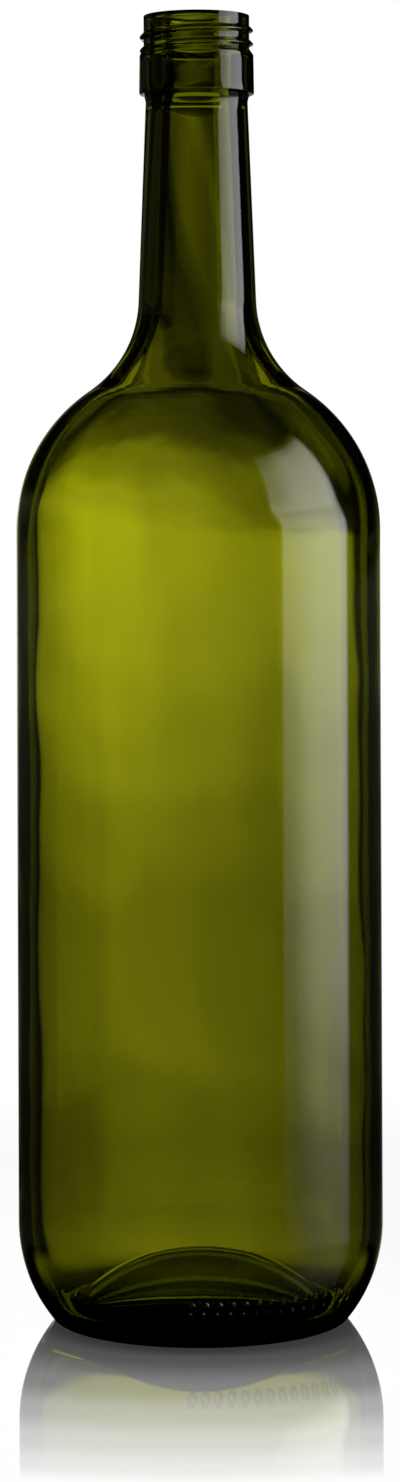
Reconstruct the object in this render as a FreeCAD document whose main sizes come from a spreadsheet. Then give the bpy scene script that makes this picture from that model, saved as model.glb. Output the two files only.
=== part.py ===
"""Empty magnum wine bottle of the Bordeaux shape, blown in one piece of glass.

The bottle stands upright with its origin at the centre of the standing ring and +Z along its axis.
It is one hollow solid: a straight body under high round shoulders, a slightly tapered neck and a
long-skirted screw finish, with a rounded heel, a narrow flat standing ring and a shallow punt.
Everything is turned from two half sections, the outside and the cavity, and the thread is a ridge
swept along a helix, whose two ends sink into the finish wall.
Lengths are in millimetres and angles in degrees.
"""

import FreeCAD
import Part

import math
import os

import Sketcher
from FreeCAD import Vector

# Name, value and meaning of each driving size.
SIZES = (
    ("bottle_height", 347.0, "standing plane to lip"),
    ("body_diameter", 97.0, "straight body"),
    ("shoulder_radius", 44.7, "convex curve between body and neck curve"),
    ("neck_curve_radius", 30.1, "concave curve at the foot of the neck"),
    ("neck_length", 76.2, "lip down to the neck's foot, where its curve starts"),
    ("neck_foot_diameter", 31.4, "neck at its foot"),
    ("neck_waist_drop", 22.9, "lip down to the narrowest place under the collar"),
    ("neck_waist_depth", 0.5, "narrowest place, inside the finish wall"),
    ("finish_diameter", 28.2, "screw finish between the thread's turns"),
    ("lip_round", 1.6, "outer edge of the lip"),
    ("mouth_round", 1.2, "inner edge of the lip"),
    ("collar_drop", 21.0, "lip down to the collar's lower face"),
    ("collar_length", 10.5, "straight skirt of the collar"),
    ("collar_step", 1.25, "collar's lower edge, outside the finish wall"),
    ("collar_draft", 0.15, "how much less the collar's upper edge stands out"),
    ("collar_bevel", 1.6, "height of the slope from the skirt up to the finish wall"),
    ("collar_round", 0.8, "edge between that slope and the skirt"),
    ("thread_pitch", 3.6, "rise of the thread in one turn"),
    ("thread_turns", 1.5, "full thread between its two fading ends"),
    ("thread_drop", 3.95, "lip down to the crest where the full thread ends"),
    ("thread_height", 1.05, "crest outside the finish wall"),
    ("thread_crest_radius", 0.5, "round crest"),
    ("thread_flank_angle", 45.0, "upper flank, off the level"),
    ("thread_root", 0.6, "depth to which the ridge is rooted in the wall"),
    ("thread_fade_turns", 0.2, "length of each fading end, in turns"),
    ("heel_width", 11.25, "standing ring in from the body wall"),
    ("heel_radius", 39.8, "main curve of the heel"),
    ("heel_edge_radius", 2.9, "tight curve beside the standing ring"),
    ("standing_width", 3.0, "flat standing ring"),
    ("punt_depth", 13.6, "standing plane to the top of the punt"),
    ("punt_edge_round", 1.5, "edge between the standing ring and the punt"),
    ("base_thickness", 5.0, "glass over the top of the punt"),
    ("gutter_thickness", 4.5, "standing plane to the lowest place of the floor"),
    ("gutter_radius", 5.0, "curve between the floor and the inside of the heel"),
    ("body_wall", 3.2, "body and heel"),
    ("shoulder_thinning", 2.0, "how far the cavity's shoulder and neck curves depart from an even wall"),
    ("neck_wall", 3.7, "neck at its foot"),
    ("mouth_wall", 4.65, "finish wall between the thread's turns"),
)

FULL_TURN = 360.0
ON_AXIS = -2  # Sketcher's number for a sketch's own vertical axis
ON_GROUND = -1  # and for its horizontal one
START = 1
END = 2
CENTRE = 3


class Outline:
    """A chain of lines and arcs in a sketch, each piece joined to the one before it."""

    def __init__(self, body, name):
        """Starts an empty sketch in the vertical plane through the body's axis."""
        self.sketch = body.newObject("Sketcher::SketchObject", name)
        plane = next(item for item in body.Origin.OriginFeatures if item.Role == "XZ_Plane")
        self.sketch.AttachmentSupport = (plane, [""])
        self.sketch.MapMode = "FlatFace"
        self.pieces = []

    def line(self, start, end):
        """Adds a line between two points and returns its number."""
        segment = Part.LineSegment(Vector(*start, 0), Vector(*end, 0))
        self.pieces.append((self.sketch.addGeometry(segment), START, END))
        return self.pieces[-1][0]

    def arc(self, centre, start, end, anticlockwise):
        """Adds an arc round a centre from one point to another and returns its number."""
        first, last = (start, end) if anticlockwise else (end, start)
        circle = Part.Circle(Vector(*centre, 0), Vector(0, 0, 1), math.dist(centre, start))
        angles = [math.atan2(point[1] - centre[1], point[0] - centre[0]) for point in (first, last)]
        number = self.sketch.addGeometry(Part.ArcOfCircle(circle, *angles))
        self.pieces.append((number, START, END) if anticlockwise else (number, END, START))
        return number

    def join(self, smooth):
        """Joins the pieces into a closed loop, tangent where the first piece of a pair is smooth."""
        following = self.pieces[1:] + self.pieces[:1]
        for (piece, _, end), (successor, start, _) in zip(self.pieces, following):
            kind = "Tangent" if piece in smooth else "Coincident"
            self.sketch.addConstraint(Sketcher.Constraint(kind, piece, end, successor, start))

    def fix(self, kind, *places):
        """Adds a constraint that has no size of its own."""
        self.sketch.addConstraint(Sketcher.Constraint(kind, *places))

    def bind(self, kind, places, name, formula):
        """Adds a constraint that takes its size from a formula on the sheet."""
        value = float(self.sketch.evalExpression(formula))
        number = self.sketch.addConstraint(Sketcher.Constraint(kind, *places, value))
        self.sketch.renameConstraint(number, name)
        self.sketch.setExpression(f"Constraints.{name}", formula)

    def radius(self, arc, name, formula):
        """Sets an arc's radius."""
        self.bind("Radius", (arc,), f"{name}_radius", formula)

    def across(self, piece, place, name, formula):
        """Sets how far a point of a piece lies from the axis."""
        self.bind("DistanceX", (ON_GROUND, START, piece, place), f"{name}_across", formula)

    def up(self, piece, place, name, formula):
        """Sets how high a point of a piece lies above the ground."""
        self.bind("DistanceY", (ON_GROUND, START, piece, place), f"{name}_up", formula)


def make_sheet(document):
    """Writes the driving sizes into a spreadsheet and returns their values by name."""
    sheet = document.addObject("Spreadsheet::Sheet", "Sizes")
    for row, (name, value, meaning) in enumerate(SIZES, start=1):
        sheet.set(f"A{row}", name)
        sheet.set(f"B{row}", str(value))
        sheet.set(f"C{row}", meaning)
        sheet.setAlias(f"B{row}", name)
    document.recompute()
    return {name: float(getattr(sheet, name)) for name, _, _ in SIZES}


def beyond(start, passed, distance):
    """Returns the point that lies on the line from start past another point, by a distance."""
    length = math.dist(start, passed)
    return tuple(passed[i] + distance * (passed[i] - start[i]) / length for i in (0, 1))


def heel_level(size):
    """Returns the height at which the heel's main curve meets the body wall."""
    reach = size["heel_radius"] - size["heel_edge_radius"]
    run = size["heel_radius"] - size["heel_width"]
    return size["heel_edge_radius"] + math.sqrt(reach**2 - run**2)


def shoulder_curves(foot, waist, neck_curve_radius, shoulder_radius, body_radius):
    """Returns the centres and ends of the two tangent curves that join a neck to a body.

    The concave neck curve touches the line from the waist to the foot at the foot. The convex
    shoulder curve touches the neck curve, and the body wall at the shoulder's foot.
    """
    length = math.dist(foot, waist)
    outward = ((waist[1] - foot[1]) / length, (foot[0] - waist[0]) / length)
    neck_centre = tuple(foot[i] + neck_curve_radius * outward[i] for i in (0, 1))
    shoulder_centre_radius = body_radius - shoulder_radius
    reach = neck_curve_radius + shoulder_radius
    drop = math.sqrt(reach**2 - (neck_centre[0] - shoulder_centre_radius) ** 2)
    shoulder_centre = (shoulder_centre_radius, neck_centre[1] - drop)
    meeting = beyond(neck_centre, shoulder_centre, -shoulder_radius)
    shoulder_foot = (body_radius, shoulder_centre[1])
    return neck_centre, meeting, shoulder_centre, shoulder_foot


def draw_outside(body, size):
    """Draws the half section of the glass with its cavity still filled."""
    body_radius = size["body_diameter"] / 2
    finish_radius = size["finish_diameter"] / 2
    lip = size["bottle_height"]
    ring_outer = (body_radius - size["heel_width"], 0.0)
    ring_inner = (ring_outer[0] - size["standing_width"], 0.0)
    punt_top = (0.0, size["punt_depth"])
    punt_radius = (ring_inner[0] ** 2 + punt_top[1] ** 2) / (2 * punt_top[1])
    punt_centre = (0.0, punt_top[1] - punt_radius)

    heel_centre = (body_radius - size["heel_radius"], heel_level(size))
    heel_top = (body_radius, heel_centre[1])
    edge_centre = (ring_outer[0], size["heel_edge_radius"])
    edge_end = beyond(heel_centre, edge_centre, size["heel_edge_radius"])

    foot = (size["neck_foot_diameter"] / 2, lip - size["neck_length"])
    waist = (finish_radius - size["neck_waist_depth"], lip - size["neck_waist_drop"])
    neck_centre, meeting, shoulder_centre, shoulder_foot = shoulder_curves(
        foot, waist, size["neck_curve_radius"], size["shoulder_radius"], body_radius
    )

    collar_inner = (finish_radius, lip - size["collar_drop"])
    collar_lower = (finish_radius + size["collar_step"], collar_inner[1])
    skirt_top = collar_inner[1] + size["collar_length"]
    collar_upper = (collar_lower[0] - size["collar_draft"], skirt_top)
    bevel_top = (finish_radius, skirt_top + size["collar_bevel"])

    outline = Outline(body, "OutsideSection")
    punt = outline.arc(punt_centre, punt_top, ring_inner, anticlockwise=False)
    ring = outline.line(ring_inner, ring_outer)
    heel_edge = outline.arc(edge_centre, ring_outer, edge_end, anticlockwise=True)
    heel = outline.arc(heel_centre, edge_end, heel_top, anticlockwise=True)
    wall = outline.line(heel_top, shoulder_foot)
    shoulder = outline.arc(shoulder_centre, shoulder_foot, meeting, anticlockwise=True)
    neck_curve = outline.arc(neck_centre, meeting, foot, anticlockwise=False)
    neck = outline.line(foot, waist)
    outline.line(waist, collar_inner)
    underside = outline.line(collar_inner, collar_lower)
    outline.line(collar_lower, collar_upper)
    bevel = outline.line(collar_upper, bevel_top)
    finish = outline.line(bevel_top, (finish_radius, lip))
    lip_top = outline.line((finish_radius, lip), (0.0, lip))
    axis = outline.line((0.0, lip), punt_top)
    outline.join(smooth={ring, heel_edge, heel, wall, shoulder, neck_curve})

    outline.fix("PointOnObject", punt, CENTRE, ON_AXIS)
    outline.fix("PointOnObject", axis, START, ON_AXIS)
    outline.fix("PointOnObject", axis, END, ON_AXIS)
    outline.fix("PointOnObject", ring, START, ON_GROUND)
    for level in (ring, underside, lip_top):
        outline.fix("Horizontal", level)
    for upright in (wall, finish):
        outline.fix("Vertical", upright)
    outline.radius(heel_edge, "heel_edge", "Sizes.heel_edge_radius")
    outline.radius(heel, "heel", "Sizes.heel_radius")
    outline.radius(shoulder, "shoulder", "Sizes.shoulder_radius")
    outline.radius(neck_curve, "neck_curve", "Sizes.neck_curve_radius")
    outline.up(axis, START, "lip", "Sizes.bottle_height")
    outline.up(axis, END, "punt_top", "Sizes.punt_depth")
    outline.across(ring, END, "ring_outer", "Sizes.body_diameter / 2 - Sizes.heel_width")
    outline.across(
        ring, START, "ring_inner", "Sizes.body_diameter / 2 - Sizes.heel_width - Sizes.standing_width"
    )
    outline.across(wall, START, "wall", "Sizes.body_diameter / 2")
    outline.across(neck, START, "neck_foot", "Sizes.neck_foot_diameter / 2")
    outline.up(neck, START, "neck_foot", "Sizes.bottle_height - Sizes.neck_length")
    outline.across(neck, END, "waist", "Sizes.finish_diameter / 2 - Sizes.neck_waist_depth")
    outline.up(neck, END, "waist", "Sizes.bottle_height - Sizes.neck_waist_drop")
    outline.across(underside, START, "collar_inner", "Sizes.finish_diameter / 2")
    outline.up(underside, START, "collar_inner", "Sizes.bottle_height - Sizes.collar_drop")
    outline.across(underside, END, "collar_lower", "Sizes.finish_diameter / 2 + Sizes.collar_step")
    outline.across(
        bevel, START, "collar_upper", "Sizes.finish_diameter / 2 + Sizes.collar_step - Sizes.collar_draft"
    )
    skirt_level = "Sizes.bottle_height - Sizes.collar_drop + Sizes.collar_length"
    outline.up(bevel, START, "collar_upper", skirt_level)
    outline.across(finish, START, "finish", "Sizes.finish_diameter / 2")
    outline.up(finish, START, "bevel_top", f"{skirt_level} + Sizes.collar_bevel")
    return outline.sketch


def draw_cavity(body, size):
    """Draws the half section of the space inside, open through the mouth."""
    inner_radius = size["body_diameter"] / 2 - size["body_wall"]
    bore_radius = size["finish_diameter"] / 2 - size["mouth_wall"]
    lip = size["bottle_height"]
    floor_top = (0.0, size["punt_depth"] + size["base_thickness"])
    gutter_radius = size["gutter_radius"]
    gutter_level = size["gutter_thickness"] + gutter_radius
    heel_radius = size["heel_radius"] - size["body_wall"]
    heel_centre = (inner_radius - heel_radius, heel_level(size))
    heel_top = (inner_radius, heel_centre[1])
    heel_run = math.sqrt((heel_radius - gutter_radius) ** 2 - (heel_centre[1] - gutter_level) ** 2)
    gutter_centre = (heel_centre[0] + heel_run, gutter_level)
    gutter_end = beyond(heel_centre, gutter_centre, gutter_radius)
    reach = floor_top[1] + gutter_radius
    floor_level = (reach**2 - math.hypot(*gutter_centre) ** 2) / (2 * (reach - gutter_level))
    floor_centre = (0.0, floor_level)
    floor_foot = beyond(floor_centre, gutter_centre, -gutter_radius)

    foot = (size["neck_foot_diameter"] / 2 - size["neck_wall"], lip - size["neck_length"])
    bore_foot = (bore_radius, lip - size["collar_drop"])
    neck_centre, meeting, shoulder_centre, shoulder_foot = shoulder_curves(
        foot,
        bore_foot,
        size["neck_curve_radius"] + size["body_wall"] - size["shoulder_thinning"],
        size["shoulder_radius"] - size["body_wall"] + size["shoulder_thinning"],
        inner_radius,
    )

    outline = Outline(body, "CavitySection")
    floor = outline.arc(floor_centre, floor_top, floor_foot, anticlockwise=False)
    gutter = outline.arc(gutter_centre, floor_foot, gutter_end, anticlockwise=True)
    heel = outline.arc(heel_centre, gutter_end, heel_top, anticlockwise=True)
    wall = outline.line(heel_top, shoulder_foot)
    shoulder = outline.arc(shoulder_centre, shoulder_foot, meeting, anticlockwise=True)
    neck_curve = outline.arc(neck_centre, meeting, foot, anticlockwise=False)
    neck = outline.line(foot, bore_foot)
    bore = outline.line(bore_foot, (bore_radius, lip))
    mouth = outline.line((bore_radius, lip), (0.0, lip))
    axis = outline.line((0.0, lip), floor_top)
    outline.join(smooth={floor, gutter, heel, wall, shoulder, neck_curve})

    outline.fix("PointOnObject", floor, CENTRE, ON_AXIS)
    outline.fix("PointOnObject", axis, START, ON_AXIS)
    outline.fix("PointOnObject", axis, END, ON_AXIS)
    outline.fix("Horizontal", mouth)
    outline.fix("Vertical", wall)
    outline.fix("Vertical", bore)
    outline.radius(gutter, "gutter", "Sizes.gutter_radius")
    outline.radius(heel, "heel", "Sizes.heel_radius - Sizes.body_wall")
    outline.radius(
        shoulder, "shoulder", "Sizes.shoulder_radius - Sizes.body_wall + Sizes.shoulder_thinning"
    )
    outline.radius(
        neck_curve, "neck_curve", "Sizes.neck_curve_radius + Sizes.body_wall - Sizes.shoulder_thinning"
    )
    outline.up(gutter, CENTRE, "gutter", "Sizes.gutter_thickness + Sizes.gutter_radius")
    outline.up(
        heel,
        CENTRE,
        "heel",
        "Sizes.heel_edge_radius + sqrt((Sizes.heel_radius - Sizes.heel_edge_radius) ^ 2"
        " - (Sizes.heel_radius - Sizes.heel_width) ^ 2)",
    )
    outline.up(axis, START, "lip", "Sizes.bottle_height")
    outline.up(axis, END, "floor_top", "Sizes.punt_depth + Sizes.base_thickness")
    outline.across(wall, START, "wall", "Sizes.body_diameter / 2 - Sizes.body_wall")
    outline.across(neck, START, "neck_foot", "Sizes.neck_foot_diameter / 2 - Sizes.neck_wall")
    outline.up(neck, START, "neck_foot", "Sizes.bottle_height - Sizes.neck_length")
    outline.across(bore, START, "bore", "Sizes.finish_diameter / 2 - Sizes.mouth_wall")
    outline.up(bore, START, "bore", "Sizes.bottle_height - Sizes.collar_drop")
    return outline.sketch


def draw_thread_ridge(body, name, size, side, crest_level):
    """Draws the ridge's section, rooted in the finish wall, with its crest at the named level.

    The upper flank slopes and the lower one is level. The section lies on the side of the axis
    that side gives, 1 or -1, and crest_level is a formula on the sheet.
    """
    root = size["finish_diameter"] / 2 - size["thread_root"]
    crest_radius = size["thread_crest_radius"]
    crest = size["finish_diameter"] / 2 + size["thread_height"] - crest_radius
    slope = math.radians(size["thread_flank_angle"])
    flank_start = crest + crest_radius * math.sin(slope)
    flank_rise = crest_radius * math.cos(slope)
    flank_end = flank_rise + (flank_start - root) * math.tan(slope)
    level = body.evalExpression(crest_level)

    def place(radius, rise):
        return (side * radius, level + rise)

    outline = Outline(body, name)
    lower = outline.line(place(root, -crest_radius), place(crest, -crest_radius))
    crown = outline.arc(
        place(crest, 0.0), place(crest, -crest_radius), place(flank_start, flank_rise), side > 0
    )
    upper = outline.line(place(flank_start, flank_rise), place(root, flank_end))
    back = outline.line(place(root, flank_end), place(root, -crest_radius))
    outline.join(smooth={lower, crown})

    outline.fix("Horizontal", lower)
    outline.fix("Vertical", back)
    outline.radius(crown, "crest", "Sizes.thread_crest_radius")
    outline.across(back, START, "root", f"{side} * (Sizes.finish_diameter / 2 - Sizes.thread_root)")
    outline.across(
        crown,
        CENTRE,
        "crest",
        f"{side} * (Sizes.finish_diameter / 2 + Sizes.thread_height - Sizes.thread_crest_radius)",
    )
    outline.up(crown, CENTRE, "crest", crest_level)
    flank = "Sizes.thread_flank_angle" if side < 0 else "(180 - Sizes.thread_flank_angle)"
    outline.bind("Angle", (upper,), "flank", f"{flank} * 1 deg")
    return outline.sketch


def sweep_thread(body, name, ridge, turns, cone_angle=None, downward=False):
    """Sweeps a ridge section along the helix and fuses it to the body.

    A cone angle makes the helix close in on the axis, so that the ridge sinks into the wall.
    """
    thread = body.newObject("PartDesign::AdditiveHelix", name)
    thread.Profile = ridge
    thread.ReferenceAxis = (ridge, ["V_Axis"])
    thread.Mode = "pitch-turns-angle"
    thread.setExpression("Pitch", "Sizes.thread_pitch")
    thread.setExpression("Turns", turns)
    thread.Reversed = downward
    if cone_angle:
        thread.setExpression("Angle", cone_angle)
    return thread


def round_rings(body, name, base, rings, radius):
    """Rounds the circular edges that have the given radii and heights with one fillet radius."""
    edges = []
    for number, edge in enumerate(base.Shape.Edges, start=1):
        if edge.Degenerated or not isinstance(edge.Curve, Part.Circle):
            continue
        ring = (edge.Curve.Radius, edge.Curve.Center.z)
        if any(math.dist(ring, wanted) < 0.01 for wanted in rings):
            edges.append(f"Edge{number}")
    fillet = body.newObject("PartDesign::Fillet", name)
    fillet.Base = (base, edges)
    fillet.setExpression("Radius", radius)
    return fillet


def turn(body, kind, name, section):
    """Turns a half section once round the body's axis, as a Revolution or a Groove."""
    feature = body.newObject(f"PartDesign::{kind}", name)
    feature.Profile = section
    feature.ReferenceAxis = (section, ["V_Axis"])
    feature.Angle = FULL_TURN
    return feature


def make_bottle(document, size):
    """Builds the bottle as one body."""
    body = document.addObject("PartDesign::Body", "Bottle")
    body.Label = "bottle"
    body.Placement = FreeCAD.Placement()

    outside = turn(body, "Revolution", "Outside", draw_outside(body, size))
    document.recompute()
    finish_radius = size["finish_diameter"] / 2
    ring_inner = size["body_diameter"] / 2 - size["heel_width"] - size["standing_width"]
    collar_upper = (
        finish_radius + size["collar_step"] - size["collar_draft"],
        size["bottle_height"] - size["collar_drop"] + size["collar_length"],
    )
    lip_edge = (finish_radius, size["bottle_height"])
    collar = round_rings(body, "CollarRound", outside, [collar_upper], "Sizes.collar_round")
    document.recompute()
    lip = round_rings(body, "LipRound", collar, [lip_edge], "Sizes.lip_round")
    document.recompute()
    round_rings(body, "PuntEdgeRound", lip, [(ring_inner, 0.0)], "Sizes.punt_edge_round")
    document.recompute()

    full_end = "Sizes.bottle_height - Sizes.thread_drop"
    full_start = f"{full_end} - Sizes.thread_turns * Sizes.thread_pitch"
    fade_angle = "-atan(1.1 * Sizes.thread_height / (Sizes.thread_fade_turns * Sizes.thread_pitch))"
    lower_ridge = draw_thread_ridge(body, "LowerRidge", size, -1, full_start)
    sweep_thread(body, "Thread", lower_ridge, "Sizes.thread_turns")
    upper_ridge = draw_thread_ridge(body, "UpperRidge", size, 1, full_end)
    sweep_thread(body, "ThreadUpperFade", upper_ridge, "Sizes.thread_fade_turns", fade_angle)
    start_ridge = draw_thread_ridge(body, "StartRidge", size, -1, full_start)
    sweep_thread(body, "ThreadLowerFade", start_ridge, "Sizes.thread_fade_turns", fade_angle, True)
    document.recompute()

    filled = body.Shape.Volume
    cavity = turn(body, "Groove", "Cavity", draw_cavity(body, size))
    document.recompute()
    if cavity.Shape.Volume >= filled:
        raise RuntimeError("the cavity cut nothing out of the glass")
    mouth_edge = (finish_radius - size["mouth_wall"], size["bottle_height"])
    round_rings(body, "MouthRound", cavity, [mouth_edge], "Sizes.mouth_round")
    document.recompute()
    return body


def check(document, bodies):
    """Raises if any object failed or a body isn't one valid solid."""
    for item in document.Objects:
        if "Invalid" in item.State or "Error" in item.State:
            raise RuntimeError(f"{item.Label} failed: {item.State}")
    for body in bodies:
        shape = body.Shape
        if shape.isNull() or not shape.isValid() or len(shape.Solids) != 1:
            raise RuntimeError(f"{body.Label} isn't one valid solid")


def main():
    """Builds the document and writes each body to its own file."""
    document = FreeCAD.newDocument("WineBottle")
    size = make_sheet(document)
    bodies = [make_bottle(document, size)]
    check(document, bodies)
    os.makedirs("parts", exist_ok=True)
    for body in bodies:
        body.Shape.exportStep(os.path.join("parts", f"{body.Label}.step"))


main()
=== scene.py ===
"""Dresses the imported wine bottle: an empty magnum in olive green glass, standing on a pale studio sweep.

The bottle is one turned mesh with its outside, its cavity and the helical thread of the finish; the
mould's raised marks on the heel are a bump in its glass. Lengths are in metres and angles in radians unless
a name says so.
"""

import logging
import math
from dataclasses import dataclass, field
from enum import Enum

import bmesh
import bpy
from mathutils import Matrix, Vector, noise


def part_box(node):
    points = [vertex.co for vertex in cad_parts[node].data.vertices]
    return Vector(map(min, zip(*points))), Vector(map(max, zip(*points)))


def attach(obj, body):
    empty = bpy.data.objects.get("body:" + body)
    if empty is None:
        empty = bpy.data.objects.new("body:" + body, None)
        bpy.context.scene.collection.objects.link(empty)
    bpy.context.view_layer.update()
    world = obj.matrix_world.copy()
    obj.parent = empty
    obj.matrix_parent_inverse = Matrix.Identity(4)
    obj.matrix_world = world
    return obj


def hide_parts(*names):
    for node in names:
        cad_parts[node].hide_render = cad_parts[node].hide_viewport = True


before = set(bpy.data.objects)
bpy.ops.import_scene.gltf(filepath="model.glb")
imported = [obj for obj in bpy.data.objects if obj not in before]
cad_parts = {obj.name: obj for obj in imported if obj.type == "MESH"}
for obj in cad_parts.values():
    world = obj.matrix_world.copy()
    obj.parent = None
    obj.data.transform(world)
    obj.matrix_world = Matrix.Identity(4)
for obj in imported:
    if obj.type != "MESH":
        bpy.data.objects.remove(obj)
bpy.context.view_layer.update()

MM = 0.001
WELD_DISTANCE = 0.002 * MM
SLIVER_LENGTH = 0.001 * MM
WHITE = (1.0, 1.0, 1.0, 1.0)
BLACK = (0.0, 0.0, 0.0, 1.0)
LOG = logging.getLogger("bottle")

Stops = tuple[tuple[float, float], ...]


# --- Shader maths ---------------------------------------------------------------------------------


class Value:
    """A number that flows through a node tree, with Python's operators adding Math nodes."""

    def __init__(self, graph: "Graph", socket: bpy.types.NodeSocket) -> None:
        """Wraps an output socket.

        Args:
            graph: The graph that the socket belongs to.
            socket: The output socket that carries the number.
        """
        self.graph = graph
        self.socket = socket

    def _math(self, operation: str, *operands: "Value | float") -> "Value":
        """Adds one Math node and returns its result."""
        return self.graph.math(operation, *operands)

    def __add__(self, other: "Value | float") -> "Value":
        """Returns self + other."""
        return self._math("ADD", self, other)

    def __sub__(self, other: "Value | float") -> "Value":
        """Returns self - other."""
        return self._math("SUBTRACT", self, other)

    def __rsub__(self, other: float) -> "Value":
        """Returns other - self."""
        return self._math("SUBTRACT", other, self)

    def __mul__(self, other: "Value | float") -> "Value":
        """Returns self * other."""
        return self._math("MULTIPLY", self, other)

    def __truediv__(self, other: "Value | float") -> "Value":
        """Returns self / other."""
        return self._math("DIVIDE", self, other)

    def __abs__(self) -> "Value":
        """Returns the absolute value."""
        return self._math("ABSOLUTE", self)

    __radd__ = __add__
    __rmul__ = __mul__

    def maximum(self, other: "Value | float") -> "Value":
        """Returns the larger of self and other."""
        return self._math("MAXIMUM", self, other)

    def rise(self, start: float, end: float) -> "Value":
        """Returns 0 up to start and 1 from end, with a smooth step between them.

        Args:
            start: Where the step leaves 0; larger than end for a falling step.
            end: Where the step reaches 1.
        """
        low, high = min(start, end), max(start, end)
        levels = (0.0, 1.0) if start < end else (1.0, 0.0)
        step = self.graph.node(
            "ShaderNodeMapRange",
            {"interpolation_type": "SMOOTHSTEP"},
            {"Value": self, "From Min": low, "From Max": high, "To Min": levels[0], "To Max": levels[1]},
        )
        return Value(self.graph, step.outputs["Result"])


class Graph:
    """A node tree that is being filled."""

    def __init__(self, tree: bpy.types.NodeTree) -> None:
        """Empties a node tree and keeps it.

        Args:
            tree: The tree of a material or a world.
        """
        self.tree = tree
        tree.nodes.clear()

    def node(
        self,
        kind: str,
        settings: "dict[str, object] | None" = None,
        inputs: "dict[str | int, object] | None" = None,
    ) -> bpy.types.Node:
        """Adds a node.

        Args:
            kind: The node's type name.
            settings: Attributes that are set first; a ramp's stops are given as "stops".
            inputs: Values or links for the sockets, by name or number.

        Returns:
            The new node.
        """
        made = self.tree.nodes.new(kind)
        for name, value in (settings or {}).items():
            if name == "stops":
                self._set_stops(made.color_ramp, value)
            else:
                setattr(made, name, value)
        for name, value in (inputs or {}).items():
            self.connect(value, made.inputs[name])
        return made

    def connect(self, value: object, target: bpy.types.NodeSocket) -> None:
        """Links a socket or a Value to an input, or sets the input's own value."""
        if isinstance(value, Value):
            value = value.socket
        if isinstance(value, bpy.types.NodeSocket):
            self.tree.links.new(value, target)
        else:
            target.default_value = value

    def math(self, operation: str, *operands: "Value | float") -> Value:
        """Adds a Math node and returns its result."""
        inputs = dict(enumerate(operands))
        made = self.node("ShaderNodeMath", {"operation": operation}, inputs)
        return Value(self, made.outputs[0])

    def ramp(self, factor: Value, stops: Stops) -> Value:
        """Returns a number that follows grey stops along a factor from 0 to 1."""
        colours = tuple((place, (level, level, level, 1.0)) for place, level in stops)
        made = self.node("ShaderNodeValToRGB", {"stops": colours}, {"Fac": factor})
        return Value(self, made.outputs["Color"])

    def levels(
        self, value: Value, lowest: float, highest: float, stops: Stops
    ) -> Value:
        """Reads a level off a curve that is given in the value's own unit.

        Args:
            value: What the level depends on.
            lowest: The value at the curve's start.
            highest: The value at the curve's end.
            stops: Pairs of value and level.

        Returns:
            The level.
        """
        reach = highest - lowest
        shares = tuple(((place - lowest) / reach, level) for place, level in stops)
        return self.ramp((value - lowest) / reach, shares)

    def mix_shader(
        self, factor: Value, first: bpy.types.NodeSocket, second: bpy.types.NodeSocket
    ) -> bpy.types.NodeSocket:
        """Returns first where the factor is 0 and second where it is 1."""
        return self.node("ShaderNodeMixShader", None, {0: factor, 1: first, 2: second}).outputs[0]

    @staticmethod
    def _set_stops(ramp: bpy.types.ColorRamp, stops: "tuple[tuple[float, tuple], ...]") -> None:
        """Gives a colour ramp its stops."""
        ramp.interpolation = "EASE"
        while len(ramp.elements) < len(stops):
            ramp.elements.new(0.5)
        for element, (place, colour) in zip(ramp.elements, stops):
            element.position = place
            element.color = colour


# --- Finishes -------------------------------------------------------------------------------------


@dataclass(frozen=True)
class HeelMarks:
    """A row of small raised rings that the mould leaves on the heel, from the front towards +X."""

    first: float = -5.0
    last: float = 60.0
    spacing: float = 4.3
    middle: float = 11.4 * MM
    half_height: float = 2.1 * MM
    half_width: float = 0.32
    outer_slope: "tuple[float, float]" = (1.0, 0.85)
    inner_slope: "tuple[float, float]" = (0.5, 0.65)
    row_fade: float = 0.1
    outside_from: float = 43.8 * MM
    outside_fade: float = 0.1 * MM

    def relief(self, graph: "Graph", place: bpy.types.NodeSocket) -> Value:
        """Adds the nodes that shape the marks.

        Args:
            graph: The glass's node graph.
            place: The object coordinates.

        Returns:
            A number that is 1 on a mark and 0 beside it.
        """
        split = graph.node("ShaderNodeSeparateXYZ", None, {"Vector": place})
        x, y, z = (Value(graph, split.outputs[axis]) for axis in ("X", "Y", "Z"))
        turn = graph.math("ARCTAN2", x, 0.0 - y) * math.degrees(1.0)
        count = (turn - self.first) / self.spacing
        across = abs(count - graph.math("FLOOR", count) - 0.5) / self.half_width
        along = (z - self.middle) / self.half_height
        away = graph.math("SQRT", across * across + along * along)
        ring = away.rise(*self.outer_slope) * away.rise(*self.inner_slope)
        row_start = turn.rise(self.first - self.row_fade, self.first)
        row_end = turn.rise(self.last + self.row_fade, self.last)
        radius = graph.math("SQRT", x * x + y * y)
        outside = radius.rise(self.outside_from, self.outside_from + self.outside_fade)
        return ring * row_start * row_end * outside


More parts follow.
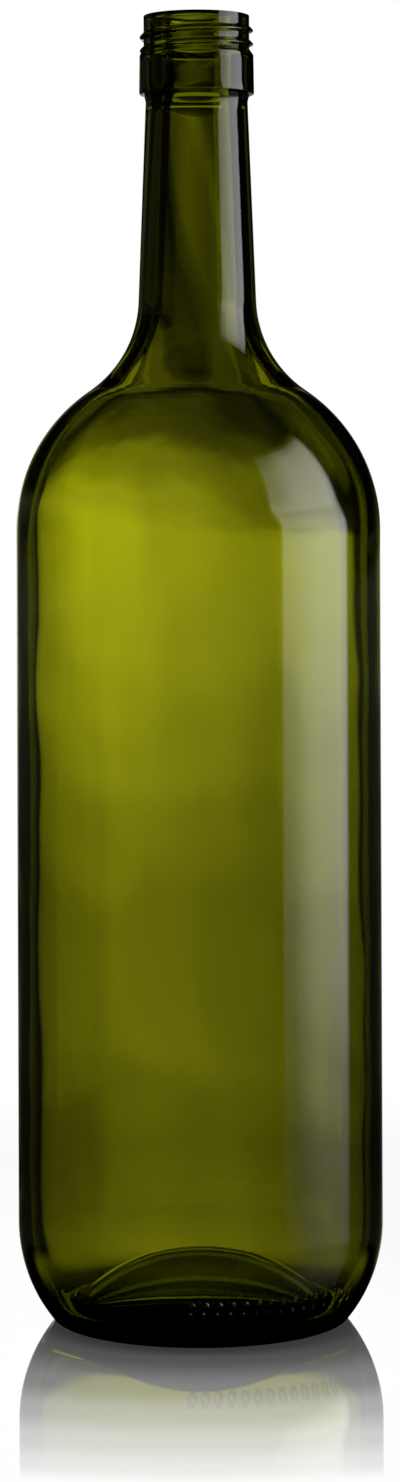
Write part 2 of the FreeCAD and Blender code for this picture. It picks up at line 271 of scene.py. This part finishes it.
@dataclass(frozen=True)
class GreenGlass:
    """Fire-polished olive green glass, clear where it is thin and near black where it is thick."""

    slot: str = "green_glass"
    ior: float = 1.52
    absorption_density: float = 770.0
    absorbed_colour: "tuple[float, float, float]" = (0.814, 0.8245, 0.01)
    surface_tint: "tuple[float, float, float]" = (1.0, 1.0, 1.0)
    haze_tint: "tuple[float, float, float]" = (0.97, 0.98, 0.94)
    streak_scale: float = 26.0
    streak_stretch: "tuple[float, float, float]" = (1.0, 1.0, 0.25)
    streak_detail: float = 2.0
    orange_peel_scale: float = 140.0
    orange_peel_detail: float = 1.0
    orange_peel_share: float = 0.025
    relief_height: float = 0.3 * MM
    marks: HeelMarks = field(default_factory=HeelMarks)

    def material(self) -> bpy.types.Material:
        """Makes the glass.

        Returns:
            A material with a clear shell and a green absorbing inside.
        """
        material = bpy.data.materials.new(self.slot)
        material.use_nodes = True
        graph = Graph(material.node_tree)
        place = graph.node("ShaderNodeTexCoord").outputs["Object"]
        stretched = graph.node("ShaderNodeMapping", None, {"Vector": place, "Scale": self.streak_stretch})
        streaks = graph.node(
            "ShaderNodeTexNoise",
            None,
            {"Vector": stretched.outputs[0], "Scale": self.streak_scale, "Detail": self.streak_detail},
        )
        tint = graph.node(
            "ShaderNodeMix",
            {"data_type": "RGBA"},
            {"Factor": streaks.outputs["Fac"], 6: (*self.surface_tint, 1.0), 7: (*self.haze_tint, 1.0)},
        )
        peel = graph.node(
            "ShaderNodeTexNoise",
            None,
            {"Vector": place, "Scale": self.orange_peel_scale, "Detail": self.orange_peel_detail},
        )
        unevenness = Value(graph, peel.outputs["Fac"]) * self.orange_peel_share
        relief = unevenness + self.marks.relief(graph, place)
        bump = graph.node(
            "ShaderNodeBump", None, {"Height": relief, "Strength": 1.0, "Distance": self.relief_height}
        )
        shell = graph.node(
            "ShaderNodeBsdfPrincipled",
            None,
            {
                "Base Color": tint.outputs[2],
                "Roughness": 0.0,
                "IOR": self.ior,
                "Transmission Weight": 1.0,
                "Normal": bump.outputs["Normal"],
            },
        )
        inside = graph.node(
            "ShaderNodeVolumeAbsorption",
            None,
            {"Color": (*self.absorbed_colour, 1.0), "Density": self.absorption_density},
        )
        graph.node(
            "ShaderNodeOutputMaterial",
            None,
            {"Surface": shell.outputs["BSDF"], "Volume": inside.outputs["Volume"]},
        )
        return material


@dataclass(frozen=True)
class SweepFinish:
    """White polished acrylic that mirrors the bottle near its foot and fades to plain white; to all but
    camera rays it is a painted black shadow round the foot and clear further out.
    """

    mirror_stops: Stops = (
        (0.0, 0.97), (0.22, 0.95), (0.29, 0.91), (0.47, 0.77), (0.62, 0.58), (0.78, 0.37), (0.91, 0.20),
        (1.0, 0.0),
    )
    mirror_reach: float = 0.175
    mirror_roughness: float = 0.03
    matt_colour: "tuple[float, float, float, float]" = (0.9, 0.9, 0.9, 1.0)
    diffuse_share: float = 0.25
    plain_from: float = 0.24
    plain_to: float = 0.40
    shade_from: float = 0.048
    shade_to: float = 0.090

    def material(self) -> bpy.types.Material:
        """Makes the floor's finish.

        Returns:
            A material whose mirror share falls with the distance from the bottle's axis.
        """
        material = bpy.data.materials.new("white_sweep")
        material.use_nodes = True
        graph = Graph(material.node_tree)
        path = graph.node("ShaderNodeLightPath")
        place = graph.node("ShaderNodeTexCoord").outputs["Object"]
        flat = graph.node("ShaderNodeVectorMath", {"operation": "MULTIPLY"}, {0: place, 1: (1.0, 1.0, 0.0)})
        length = graph.node("ShaderNodeVectorMath", {"operation": "LENGTH"}, {0: flat.outputs[0]})
        radius = Value(graph, length.outputs["Value"])

        plain = radius.rise(self.plain_from, self.plain_to)
        lit_share = (1.0 - plain) * self.diffuse_share
        emission = graph.node("ShaderNodeEmission", None, {"Color": WHITE})
        matt = graph.node("ShaderNodeBsdfDiffuse", None, {"Color": self.matt_colour})
        white = graph.mix_shader(lit_share, emission.outputs[0], matt.outputs[0])
        mirror = graph.node(
            "ShaderNodeBsdfAnisotropic", None, {"Color": WHITE, "Roughness": self.mirror_roughness}
        )
        mirrored = graph.ramp(radius / self.mirror_reach, self.mirror_stops)
        seen = graph.mix_shader(mirrored, white, mirror.outputs[0])
        # Rays other than the camera's see a painted shadow here: black out to shade_from from the axis,
        # fading to clear at shade_to.
        clear = graph.node("ShaderNodeBsdfTransparent")
        painted_shadow = graph.node("ShaderNodeBsdfDiffuse", None, {"Color": BLACK})
        shade = radius.rise(self.shade_from, self.shade_to)
        in_glass = graph.mix_shader(shade, painted_shadow.outputs[0], clear.outputs[0])
        camera = Value(graph, path.outputs["Is Camera Ray"])
        surface = graph.mix_shader(camera, in_glass, seen)
        graph.node("ShaderNodeOutputMaterial", None, {"Surface": surface})
        return material


# --- Bottle ---------------------------------------------------------------------------------------


def beyond(start: Vector, passed: Vector, distance: float) -> Vector:
    """Returns the point on the line from start past another point, by a distance."""
    return passed + (passed - start).normalized() * distance


class HalfSection:
    """A chain of edges in the XZ plane, drawn from the axis round the wall and back to the axis."""

    def __init__(self, start: Vector) -> None:
        """Starts the chain at a point.

        Args:
            start: Distance from the axis and height.
        """
        self.mesh = bmesh.new()
        self.tip = self.mesh.verts.new((start.x, 0.0, start.y))

    @property
    def here(self) -> Vector:
        """The chain's end, as distance from the axis and height."""
        return Vector((self.tip.co.x, self.tip.co.z))

    def line(self, end: Vector, pitch: float) -> None:
        """Extrudes the chain's end along a straight line.

        Args:
            end: Where the line ends.
            pitch: The longest edge.
        """
        reach = end - self.here
        steps = max(1, math.ceil(reach.length / pitch - 1e-6))
        stride = Vector((reach.x, 0.0, reach.y)) / steps
        for _ in range(steps):
            made = bmesh.ops.extrude_vert_indiv(self.mesh, verts=[self.tip])
            self.tip = made["verts"][0]
            bmesh.ops.translate(self.mesh, verts=[self.tip], vec=stride)

    def arc(self, centre: Vector, end: Vector, pitch: float) -> None:
        """Spins the chain's end round a centre, the shorter way.

        Args:
            centre: The arc's centre.
            end: A point in the direction where the arc ends.
            pitch: The longest edge.
        """
        first, last = self.here - centre, end - centre
        turn = math.atan2(first.x * last.y - first.y * last.x, first.dot(last))
        steps = max(1, math.ceil(abs(turn) * first.length / pitch))
        made = bmesh.ops.spin(
            self.mesh,
            geom=[self.tip],
            cent=(centre.x, 0.0, centre.y),
            axis=(0.0, -1.0, 0.0),
            angle=turn,
            steps=steps,
            use_duplicate=False,
        )
        self.tip = next(item for item in made["geom_last"] if isinstance(item, bmesh.types.BMVert))

    def corner(self, corner: Vector, following: Vector, radius: float, pitch: float, run: float) -> None:
        """Draws a line towards a corner and rounds the corner off.

        Args:
            corner: Where the two lines would meet.
            following: A point further along the second line.
            radius: The rounding.
            pitch: The longest edge on the rounding.
            run: The longest edge on the line.
        """
        back = (self.here - corner).normalized()
        on = (following - corner).normalized()
        half = back.angle(on) / 2
        inset = radius / math.tan(half)
        middle = corner + (back + on).normalized() * (radius / math.sin(half))
        self.line(corner + back * inset, run)
        self.arc(middle, corner + on * inset, pitch)

    def spun(self, segments: int) -> bmesh.types.BMesh:
        """Spins the chain once round the axis and closes its poles.

        Args:
            segments: Faces round the axis.

        Returns:
            The closed mesh, with its faces outwards.
        """
        bmesh.ops.spin(
            self.mesh,
            geom=self.mesh.verts[:] + self.mesh.edges[:],
            cent=(0.0, 0.0, 0.0),
            axis=(0.0, 0.0, 1.0),
            angle=math.tau,
            steps=segments,
            use_merge=True,
            use_duplicate=False,
        )
        bmesh.ops.remove_doubles(self.mesh, verts=self.mesh.verts, dist=WELD_DISTANCE)
        bmesh.ops.dissolve_degenerate(self.mesh, dist=SLIVER_LENGTH, edges=self.mesh.edges)
        bmesh.ops.recalc_face_normals(self.mesh, faces=self.mesh.faces)
        return self.mesh


class Face(Enum):
    """The two faces of the glass wall."""

    OUTSIDE = "outside"
    INSIDE = "inside"


@dataclass
class ScrewThread:
    """The helical ridge of the finish: a level lower flank, a round crest and a sloping upper flank."""

    pitch: float = 3.6 * MM
    turns: float = 1.5
    end_below_lip: float = 3.95 * MM
    start_angle: float = math.pi
    height: float = 1.05 * MM
    crest_radius: float = 0.5 * MM
    flank_angle: float = math.radians(45.0)
    fade_turns: float = 0.2
    sink_share: float = 1.1

    def section(self, rise: float) -> float:
        """Returns the ridge's height at a level above its crest.

        Args:
            rise: The level above the crest line.
        """
        slope_start = self.crest_radius * math.cos(self.flank_angle)
        if rise < -self.crest_radius:
            return 0.0
        shelf = self.height - self.crest_radius
        if rise < slope_start:
            return shelf + math.sqrt(self.crest_radius**2 - rise**2)
        slope_top = shelf + self.crest_radius * math.sin(self.flank_angle)
        return max(0.0, slope_top - (rise - slope_start) / math.tan(self.flank_angle))

    def relief(self, angle: float, below_lip: float) -> float:
        """Returns how far the thread stands out of the finish.

        Args:
            angle: Azimuth from +X.
            below_lip: Depth below the lip.

        Returns:
            The ridge's height there, 0 where there is no thread.
        """
        tallest = 0.0
        first = -self.fade_turns
        last = self.turns + self.fade_turns
        turn = ((angle - self.start_angle) / math.tau) % 1.0 - 1.0
        while turn <= last:
            if turn >= first:
                crest = self.end_below_lip + self.pitch * (self.turns - turn)
                past = max(first + self.fade_turns - turn, turn - self.turns, 0.0) / self.fade_turns
                sunk = self.sink_share * self.height * past
                tallest = max(tallest, self.section(crest - below_lip) - sunk)
            turn += 1.0
        return tallest


@dataclass
class WallWaves:
    """The slight unevenness that blowing leaves in a wall's inner face."""

    depth: float = 0.16 * MM
    across: float = 1.3
    along: float = 22.0
    fine_scale: float = 2.3
    fine_share: float = 0.5
    calm_below: float = 0.012
    seed: Vector = field(default_factory=lambda: Vector((3.1, 7.4, 1.7)))

    def relief(self, angle: float, height: float) -> float:
        """Returns how far the inner face lies outside its true form.

        Args:
            angle: Azimuth from +X.
            height: Height above the ground.
        """
        at = Vector((math.cos(angle) * self.across, math.sin(angle) * self.across, height * self.along))
        coarse = noise.noise(at + self.seed)
        fine = noise.noise(at * self.fine_scale - self.seed)
        return self.depth * (coarse + self.fine_share * fine)


@dataclass(frozen=True)
class ShoulderCurves:
    """The two tangent curves that join the neck to the body on one face of the wall."""

    wall: float
    shoulder_centre: Vector
    meeting: Vector
    neck_centre: Vector
    foot: Vector


@dataclass
class Bottle:
    """The whole bottle: body, shoulders, neck, screw finish, heel and punt, turned as one closed shell."""

    height: float
    body_radius: float
    finish: GreenGlass = field(default_factory=GreenGlass)
    thread: ScrewThread = field(default_factory=ScrewThread)
    waves: WallWaves = field(default_factory=WallWaves)
    segments: int = 240
    body_wall: float = 3.2 * MM
    shoulder_thinning: float = 2.0 * MM
    neck_wall: float = 3.7 * MM
    mouth_wall: float = 4.65 * MM
    shoulder_radius: float = 44.7 * MM
    neck_curve_radius: float = 30.1 * MM
    neck_length: float = 76.2 * MM
    neck_foot_radius: float = 15.7 * MM
    neck_waist_drop: float = 22.9 * MM
    neck_waist_depth: float = 0.5 * MM
    finish_radius: float = 14.1 * MM
    lip_round: float = 1.6 * MM
    mouth_round: float = 1.2 * MM
    collar_drop: float = 21.0 * MM
    collar_length: float = 10.5 * MM
    collar_step: float = 1.25 * MM
    collar_draft: float = 0.15 * MM
    collar_bevel: float = 1.6 * MM
    collar_round: float = 0.8 * MM
    collar_hem_round: float = 0.45 * MM
    collar_root_round: float = 0.3 * MM
    bevel_root_round: float = 0.4 * MM
    heel_width: float = 11.25 * MM
    heel_radius: float = 39.8 * MM
    heel_edge_radius: float = 2.9 * MM
    standing_width: float = 3.0 * MM
    punt_depth: float = 13.6 * MM
    punt_edge_round: float = 1.5 * MM
    base_thickness: float = 5.0 * MM
    gutter_thickness: float = 4.5 * MM
    gutter_radius: float = 5.0 * MM

    def build(self) -> bpy.types.Object:
        """Builds and dresses the bottle.

        Returns:
            The bottle's object, riding on the root body in place of the CAD node.
        """
        section = HalfSection(Vector((0.0, self.punt_depth)))
        self._draw_base(section)
        self._draw_shoulder(section, Face.OUTSIDE)
        self._draw_finish(section)
        self._draw_shoulder(section, Face.INSIDE)
        self._draw_floor(section)
        shell = section.spun(self.segments)
        self._raise_thread(shell)
        self._wave_inside(shell)
        mesh = bpy.data.meshes.new("bottle_glass")
        shell.to_mesh(mesh)
        shell.free()
        mesh.shade_smooth()
        mesh.materials.append(self.finish.material())
        piece = bpy.data.objects.new("bottle_glass", mesh)
        bpy.context.scene.collection.objects.link(piece)
        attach(piece, "root")
        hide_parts("bottle")
        return piece

    @property
    def heel_level(self) -> float:
        """The height at which the heel's curve meets the body wall."""
        reach = self.heel_radius - self.heel_edge_radius
        run = self.heel_radius - self.heel_width
        return self.heel_edge_radius + math.sqrt(reach**2 - run**2)

    def _draw_base(self, section: HalfSection) -> None:
        """Draws the punt's underside, the standing ring and the heel up to the body wall.

        Args:
            section: The half section so far.
        """
        ring_outer = Vector((self.body_radius - self.heel_width, 0.0))
        ring_inner = ring_outer - Vector((self.standing_width, 0.0))
        punt_radius = (ring_inner.x**2 + self.punt_depth**2) / (2 * self.punt_depth)
        punt_centre = Vector((0.0, self.punt_depth - punt_radius))
        round_radius = self.punt_edge_round
        reach = punt_radius + round_radius
        round_centre = Vector((math.sqrt(reach**2 - (round_radius - punt_centre.y) ** 2), round_radius))
        round_start = beyond(punt_centre, round_centre, -round_radius)
        section.arc(punt_centre, round_start, pitch=2.4 * MM)
        section.arc(round_centre, Vector((round_centre.x, 0.0)), pitch=0.35 * MM)
        section.line(ring_outer, pitch=1.2 * MM)
        edge_centre = Vector((ring_outer.x, self.heel_edge_radius))
        heel_centre = Vector((self.body_radius - self.heel_radius, self.heel_level))
        section.arc(edge_centre, beyond(heel_centre, edge_centre, self.heel_edge_radius), pitch=0.45 * MM)
        section.arc(heel_centre, Vector((self.body_radius, self.heel_level)), pitch=1.3 * MM)

    def _shoulder(self, face: Face) -> ShoulderCurves:
        """Works out the curves between the body's wall and the neck's foot.

        Args:
            face: The wall's outside or inside.

        Returns:
            The curves of that face.
        """
        inset, thinning, neck_inset = 0.0, 0.0, 0.0
        if face is Face.INSIDE:
            inset, thinning, neck_inset = self.body_wall, self.shoulder_thinning, self.neck_wall
        wall = self.body_radius - inset
        shoulder_radius = self.shoulder_radius - inset + thinning
        neck_curve_radius = self.neck_curve_radius + inset - thinning
        foot = Vector((self.neck_foot_radius - neck_inset, self.height - self.neck_length))
        up = (self._neck_top(face) - foot).normalized()
        neck_centre = foot + Vector((up.y, -up.x)) * neck_curve_radius
        shoulder_across = wall - shoulder_radius
        reach = neck_curve_radius + shoulder_radius
        drop = math.sqrt(reach**2 - (neck_centre.x - shoulder_across) ** 2)
        shoulder_centre = Vector((shoulder_across, neck_centre.y - drop))
        meeting = beyond(neck_centre, shoulder_centre, -shoulder_radius)
        return ShoulderCurves(wall, shoulder_centre, meeting, neck_centre, foot)

    def _neck_top(self, face: Face) -> Vector:
        """Returns where the neck's straight taper ends, at the waist outside or the bore inside."""
        if face is Face.OUTSIDE:
            return Vector((self.finish_radius - self.neck_waist_depth, self.height - self.neck_waist_drop))
        return Vector((self.finish_radius - self.mouth_wall, self.height - self.collar_drop))

    def _draw_shoulder(self, section: HalfSection, face: Face) -> None:
        """Draws wall, shoulder and neck, upwards on the outside and downwards on the inside.

        Args:
            section: The half section so far.
            face: The wall's outside or inside.
        """
        curves = self._shoulder(face)
        shoulder_foot = Vector((curves.wall, curves.shoulder_centre.y))
        if face is Face.OUTSIDE:
            section.line(shoulder_foot, pitch=8.0 * MM)
            section.arc(curves.shoulder_centre, curves.meeting, pitch=1.8 * MM)
            section.arc(curves.neck_centre, curves.foot, pitch=1.4 * MM)
            section.line(self._neck_top(face), pitch=3.0 * MM)
        else:
            section.line(curves.foot, pitch=3.0 * MM)
            section.arc(curves.neck_centre, curves.meeting, pitch=1.6 * MM)
            section.arc(curves.shoulder_centre, shoulder_foot, pitch=2.0 * MM)
            section.line(Vector((curves.wall, self.heel_level)), pitch=3.1 * MM)

    def _draw_finish(self, section: HalfSection) -> None:
        """Draws the flare under the collar, the collar, the threaded finish, the lip and the bore.

        Args:
            section: The half section so far.
        """
        lip = self.height
        collar_foot = lip - self.collar_drop
        collar_radius = self.finish_radius + self.collar_step
        skirt_top = Vector((collar_radius - self.collar_draft, collar_foot + self.collar_length))
        bevel_top = Vector((self.finish_radius, skirt_top.y + self.collar_bevel))
        inner_corner = Vector((self.finish_radius, collar_foot))
        hem = Vector((collar_radius, collar_foot))
        bore = self._neck_top(Face.INSIDE)
        lip_edge = Vector((self.finish_radius, lip))
        mouth_edge = Vector((bore.x, lip))
        section.corner(inner_corner, hem, self.collar_root_round, pitch=0.15 * MM, run=1.0 * MM)
        section.corner(hem, skirt_top, self.collar_hem_round, pitch=0.15 * MM, run=0.5 * MM)
        section.corner(skirt_top, bevel_top, self.collar_round, pitch=0.2 * MM, run=2.0 * MM)
        section.corner(bevel_top, lip_edge, self.bevel_root_round, pitch=0.15 * MM, run=0.3 * MM)
        section.corner(lip_edge, mouth_edge, self.lip_round, pitch=0.25 * MM, run=0.2 * MM)
        section.corner(mouth_edge, bore, self.mouth_round, pitch=0.25 * MM, run=1.0 * MM)
        section.line(bore, pitch=2.4 * MM)

    def _draw_floor(self, section: HalfSection) -> None:
        """Draws the inner heel, the gutter round the punt and the floor over it, to the axis.

        Args:
            section: The half section so far.
        """
        heel_radius = self.heel_radius - self.body_wall
        wall = self.body_radius - self.body_wall
        heel_centre = Vector((wall - heel_radius, self.heel_level))
        level = self.gutter_thickness + self.gutter_radius
        run = math.sqrt((heel_radius - self.gutter_radius) ** 2 - (self.heel_level - level) ** 2)
        gutter_centre = Vector((heel_centre.x + run, level))
        top = self.punt_depth + self.base_thickness
        reach = top + self.gutter_radius
        floor_level = (reach**2 - gutter_centre.length_squared) / (2 * (reach - level))
        floor_centre = Vector((0.0, floor_level))
        floor_edge = beyond(floor_centre, gutter_centre, -self.gutter_radius)
        section.arc(heel_centre, gutter_centre, pitch=2.0 * MM)
        section.arc(gutter_centre, floor_edge, pitch=0.9 * MM)
        section.arc(floor_centre, Vector((0.0, top)), pitch=2.4 * MM)

    def _raise_thread(self, shell: bmesh.types.BMesh) -> None:
        """Raises the thread out of the finish above the collar.

        Args:
            shell: The turned bottle.
        """
        skirt_top = self.height - self.collar_drop + self.collar_length
        for vertex in shell.verts:
            place = vertex.co
            across = math.hypot(place.x, place.y)
            if place.z < skirt_top or across < self.finish_radius - self.lip_round:
                continue
            ridge = self.finish_radius + self.thread.relief(
                math.atan2(place.y, place.x), self.height - place.z
            )
            if ridge > across:
                vertex.co.x *= ridge / across
                vertex.co.y *= ridge / across

    def _wave_inside(self, shell: bmesh.types.BMesh) -> None:
        """Makes the inner face of body and shoulders as uneven as blown glass is.

        Args:
            shell: The turned bottle.
        """
        low, high = self.heel_level, self._shoulder(Face.INSIDE).foot.y
        for vertex in shell.verts:
            place = vertex.co
            across = math.hypot(place.x, place.y)
            if not low < place.z < high or not self._is_inside(vertex):
                continue
            ease = min(1.0, min(place.z - low, high - place.z) / self.waves.calm_below)
            moved = across + ease * self.waves.relief(math.atan2(place.y, place.x), place.z)
            vertex.co.x *= moved / across
            vertex.co.y *= moved / across

    @staticmethod
    def _is_inside(vertex: bmesh.types.BMVert) -> bool:
        """Tells whether a vertex of the wall faces the axis."""
        vertex.normal_update()
        return vertex.normal.x * vertex.co.x + vertex.normal.y * vertex.co.y < 0.0


# --- Studio ---------------------------------------------------------------------------------------


@dataclass(frozen=True)
class Panel:
    """The lit panel behind the bottle, in degrees: a curve of levels across times a curve of levels up.

    The stops of both curves are rounded from a least-squares fit and then adjusted.
    """

    light: float = 1.2
    reach: float = 20.0
    across: Stops = (
        (-15.2, 0.03), (-13.2, 0.60), (-11.5, 0.73), (-8.0, 0.74), (-6.0, 0.80), (-4.3, 0.93), (-3.0, 0.99),
        (-1.2, 0.87), (0.5, 0.67), (3.0, 0.47), (4.6, 0.56), (6.4, 0.50), (12.4, 0.48), (14.8, 0.03),
    )
    lowest: float = -16.0
    highest: float = 12.0
    upward: Stops = (
        (-15.5, 0.0), (-13.0, 0.29), (-11.6, 0.29), (-9.5, 0.18), (-8.2, 0.30), (-6.1, 0.29), (-5.0, 0.41),
        (-3.6, 0.565), (-2.2, 0.80), (-0.6, 1.0), (0.2, 0.81), (0.75, 0.49), (1.3, 0.155), (2.0, 0.05),
        (3.2, 0.012), (3.7, 0.05), (4.2, 0.13), (5.4, 0.14), (6.1, 0.22), (7.0, 0.07), (9.0, 0.03),
    )
    lean: float = 0.3
    lean_level: float = -5.0
    lean_end: "tuple[float, float]" = (3.0, 1.5)
    tilt: float = 0.18
    tilt_end: "tuple[float, float]" = (-1.5, 0.0)

    def shine(self, behind: Value, up: Value) -> Value:
        """Adds the nodes of the panel's light.

        Args:
            behind: The direction's turn from straight behind the bottle.
            up: The direction's elevation.

        Returns:
            The light that comes from that direction.
        """
        graph = up.graph
        leaning = behind + (up - self.lean_level) * up.rise(*self.lean_end) * self.lean
        tilted = up + behind * up.rise(*self.tilt_end) * self.tilt
        across = graph.levels(leaning, -self.reach, self.reach, self.across)
        return across * graph.levels(tilted, self.lowest, self.highest, self.upward) * self.light


@dataclass(frozen=True)
class Strip:
    """The tall strip softbox at the front right, brightest at its far side, in degrees."""

    light: float = 4.2
    near_side: float = 54.0
    near_blur: float = 1.2
    full_from: float = 82.0
    far_side: float = 107.0
    far_blur: float = 2.5
    turn: float = 7.0
    turn_range: "tuple[float, float]" = (0.0, 14.0)
    lowest: float = -14.0
    highest: float = 47.0
    upward: Stops = (
        (-14.0, 0.05), (-10.7, 0.12), (-9.5, 0.17), (-8.6, 0.265), (-6.8, 0.46), (-4.5, 0.64), (-2.0, 0.76),
        (0.0, 0.86), (3.5, 0.93), (7.0, 0.8), (9.3, 0.8), (11.5, 1.0), (16.0, 0.98), (20.0, 0.9),
        (28.0, 0.8), (34.0, 0.72), (40.0, 0.55), (44.0, 0.3), (47.0, 0.0),
    )
    near_upward: Stops = (
        (-14.0, 0.08), (-9.5, 0.14), (-7.4, 0.22), (-4.7, 0.31), (-0.8, 0.55), (4.0, 0.65), (10.0, 0.5),
        (22.0, 0.35), (47.0, 0.2),
    )

    def shine(self, before: Value, up: Value) -> Value:
        """Adds the nodes of the strip's light.

        Args:
            before: The direction's turn from straight before the bottle, towards +X.
            up: The direction's elevation.

        Returns:
            The light that comes from that direction.
        """
        graph = up.graph
        turned = before + up.rise(*self.turn_range) * self.turn
        near = graph.levels(up, self.lowest, self.highest, self.near_upward)
        return (
            turned.rise(self.near_side - self.near_blur, self.near_side + self.near_blur)
            * (turned.rise(self.near_side, self.full_from) * (1.0 - near) + near)
            * turned.rise(self.far_side + self.far_blur, self.far_side - self.far_blur)
            * graph.levels(up, self.lowest, self.highest, self.upward)
            * self.light
        )


@dataclass(frozen=True)
class Card:
    """A soft-edged card that only refracted rays meet, in degrees; each edge starts where it is dark."""

    light: float
    side: "tuple[float, float]"
    edges: Stops

    def shine(self, aside: Value, up: Value) -> Value:
        """Adds the nodes of the card's light.

        Args:
            aside: The direction's turn from the card's middle.
            up: The direction's elevation.

        Returns:
            The light that comes from that direction.
        """
        shape = abs(aside).rise(*self.side)
        for edge in self.edges:
            shape = shape * up.rise(*edge)
        return shape * self.light


@dataclass
class Studio:
    """A pale floor and backdrop, a panel behind the bottle, a strip beside it and four cards."""

    floor_radius: float = 0.45
    floor_drop: float = 0.1 * MM
    floor_segments: int = 96
    finish: SweepFinish = field(default_factory=SweepFinish)
    panel: Panel = field(default_factory=Panel)
    strip: Strip = field(default_factory=Strip)
    side_card: Card = Card(0.7, (19.0, 13.0), ((-10.0, -8.5), (2.0, 0.5)))
    side_card_turn: float = -90.0
    low_card: Card = Card(0.75, (30.0, 45.0), ((-15.0, -22.0), (-50.0, -38.0)))
    high_card: Card = Card(0.5, (16.0, 12.0), ((10.6, 11.8), (15.8, 15.0)))
    rear_card: Card = Card(0.5, (105.0, 118.0), ((5.0, 1.0),))
    lamp_place: "tuple[float, float, float]" = (-0.25, -0.2, 1.1)
    lamp_size: float = 0.6
    lamp_energy: float = 12.0
    camera_place: "tuple[float, float, float]" = (0.0005, -1.0138, 0.2166)
    camera_roll: float = math.radians(0.214)
    camera_lens: float = 92.31
    camera_sensor: float = 36.0
    camera_shift: float = -0.1592
    camera_reach: "tuple[float, float]" = (0.05, 50.0)

    def build(self) -> None:
        """Builds the floor, the world, the lamp and the camera."""
        self._lay_floor()
        self._light_world()
        self._hang_lamp()
        self._place_camera()
        bpy.context.scene.view_settings.view_transform = "Standard"

    def _lay_floor(self) -> None:
        """Lays the round floor just under the standing ring."""
        disc = bmesh.new()
        bmesh.ops.create_circle(
            disc, cap_ends=True, segments=self.floor_segments, radius=self.floor_radius
        )
        bmesh.ops.translate(disc, verts=disc.verts, vec=(0.0, 0.0, -self.floor_drop))
        mesh = bpy.data.meshes.new("floor")
        disc.to_mesh(mesh)
        disc.free()
        mesh.materials.append(self.finish.material())
        floor = bpy.data.objects.new("floor", mesh)
        bpy.context.scene.collection.objects.link(floor)

    def _light_world(self) -> None:
        """Makes the surroundings: white to the camera, panel, strip and cards to the glass."""
        world = bpy.data.worlds.new("studio")
        world.use_nodes = True
        bpy.context.scene.world = world
        graph = Graph(world.node_tree)
        path = graph.node("ShaderNodeLightPath")
        direction = graph.node("ShaderNodeTexCoord").outputs["Generated"]
        split = graph.node("ShaderNodeSeparateXYZ", None, {"Vector": direction})
        x, y, z = (Value(graph, split.outputs[axis]) for axis in ("X", "Y", "Z"))
        degree = math.degrees(1.0)
        up = graph.math("ARCSINE", z) * degree
        behind = graph.math("ARCTAN2", x, y) * degree
        before = graph.math("ARCTAN2", x, 0.0 - y) * degree

        glossy, singular, camera, transmission, crossings = (
            Value(graph, path.outputs[name])
            for name in (
                "Is Glossy Ray",
                "Is Singular Ray",
                "Is Camera Ray",
                "Is Transmission Ray",
                "Transmission Depth",
            )
        )
        # Two crossings are the front wall's face, in and out again; deeper rays don't meet the strip.
        strip = self.strip.shine(before, up) * crossings.rise(3.0, 2.0)
        cards = (
            self.low_card.shine(behind, up).maximum(self.rear_card.shine(behind, up))
            + self.high_card.shine(behind, up)
            + self.side_card.shine(before - self.side_card_turn, up)
        )
        studio = self.panel.shine(behind, up) + strip + cards * transmission

        seen_white = camera + glossy * (1.0 - singular) * (1.0 - transmission) * (1.0 - camera)
        shown = studio * (1.0 - seen_white) + seen_white
        background = graph.node("ShaderNodeBackground", None, {"Color": shown, "Strength": 1.0})
        graph.node("ShaderNodeOutputWorld", None, {"Surface": background.outputs["Background"]})

    def _hang_lamp(self) -> None:
        """Hangs the soft lamp that gives the floor its shadow."""
        light = bpy.data.lights.new("overhead", "AREA")
        light.shape = "DISK"
        light.size = self.lamp_size
        light.energy = self.lamp_energy
        lamp = bpy.data.objects.new("overhead", light)
        lamp.location = self.lamp_place
        lamp.rotation_euler = Vector(self.lamp_place).to_track_quat("Z", "Y").to_euler()
        lamp.visible_camera = False
        lamp.visible_glossy = False
        lamp.visible_transmission = False
        bpy.context.scene.collection.objects.link(lamp)

    def _place_camera(self) -> None:
        """Places the level camera in front of the bottle."""
        data = bpy.data.cameras.new("camera")
        data.sensor_width = self.camera_sensor
        data.lens = self.camera_lens
        data.shift_y = self.camera_shift
        data.clip_start, data.clip_end = self.camera_reach
        camera = bpy.data.objects.new("camera", data)
        camera.location = self.camera_place
        camera.rotation_euler = (math.radians(90.0), self.camera_roll, 0.0)
        bpy.context.scene.collection.objects.link(camera)
        bpy.context.scene.camera = camera


def main() -> None:
    """Builds the bottle and its studio."""
    logging.basicConfig(level=logging.INFO, format="%(name)s: %(message)s")
    lowest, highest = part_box("bottle")
    bottle = Bottle(height=highest.z, body_radius=highest.x)
    piece = bottle.build()
    LOG.info("built %s with %d faces", piece.name, len(piece.data.polygons))
    Studio().build()
    LOG.info("built the studio")


if __name__ == "__main__":
    main()
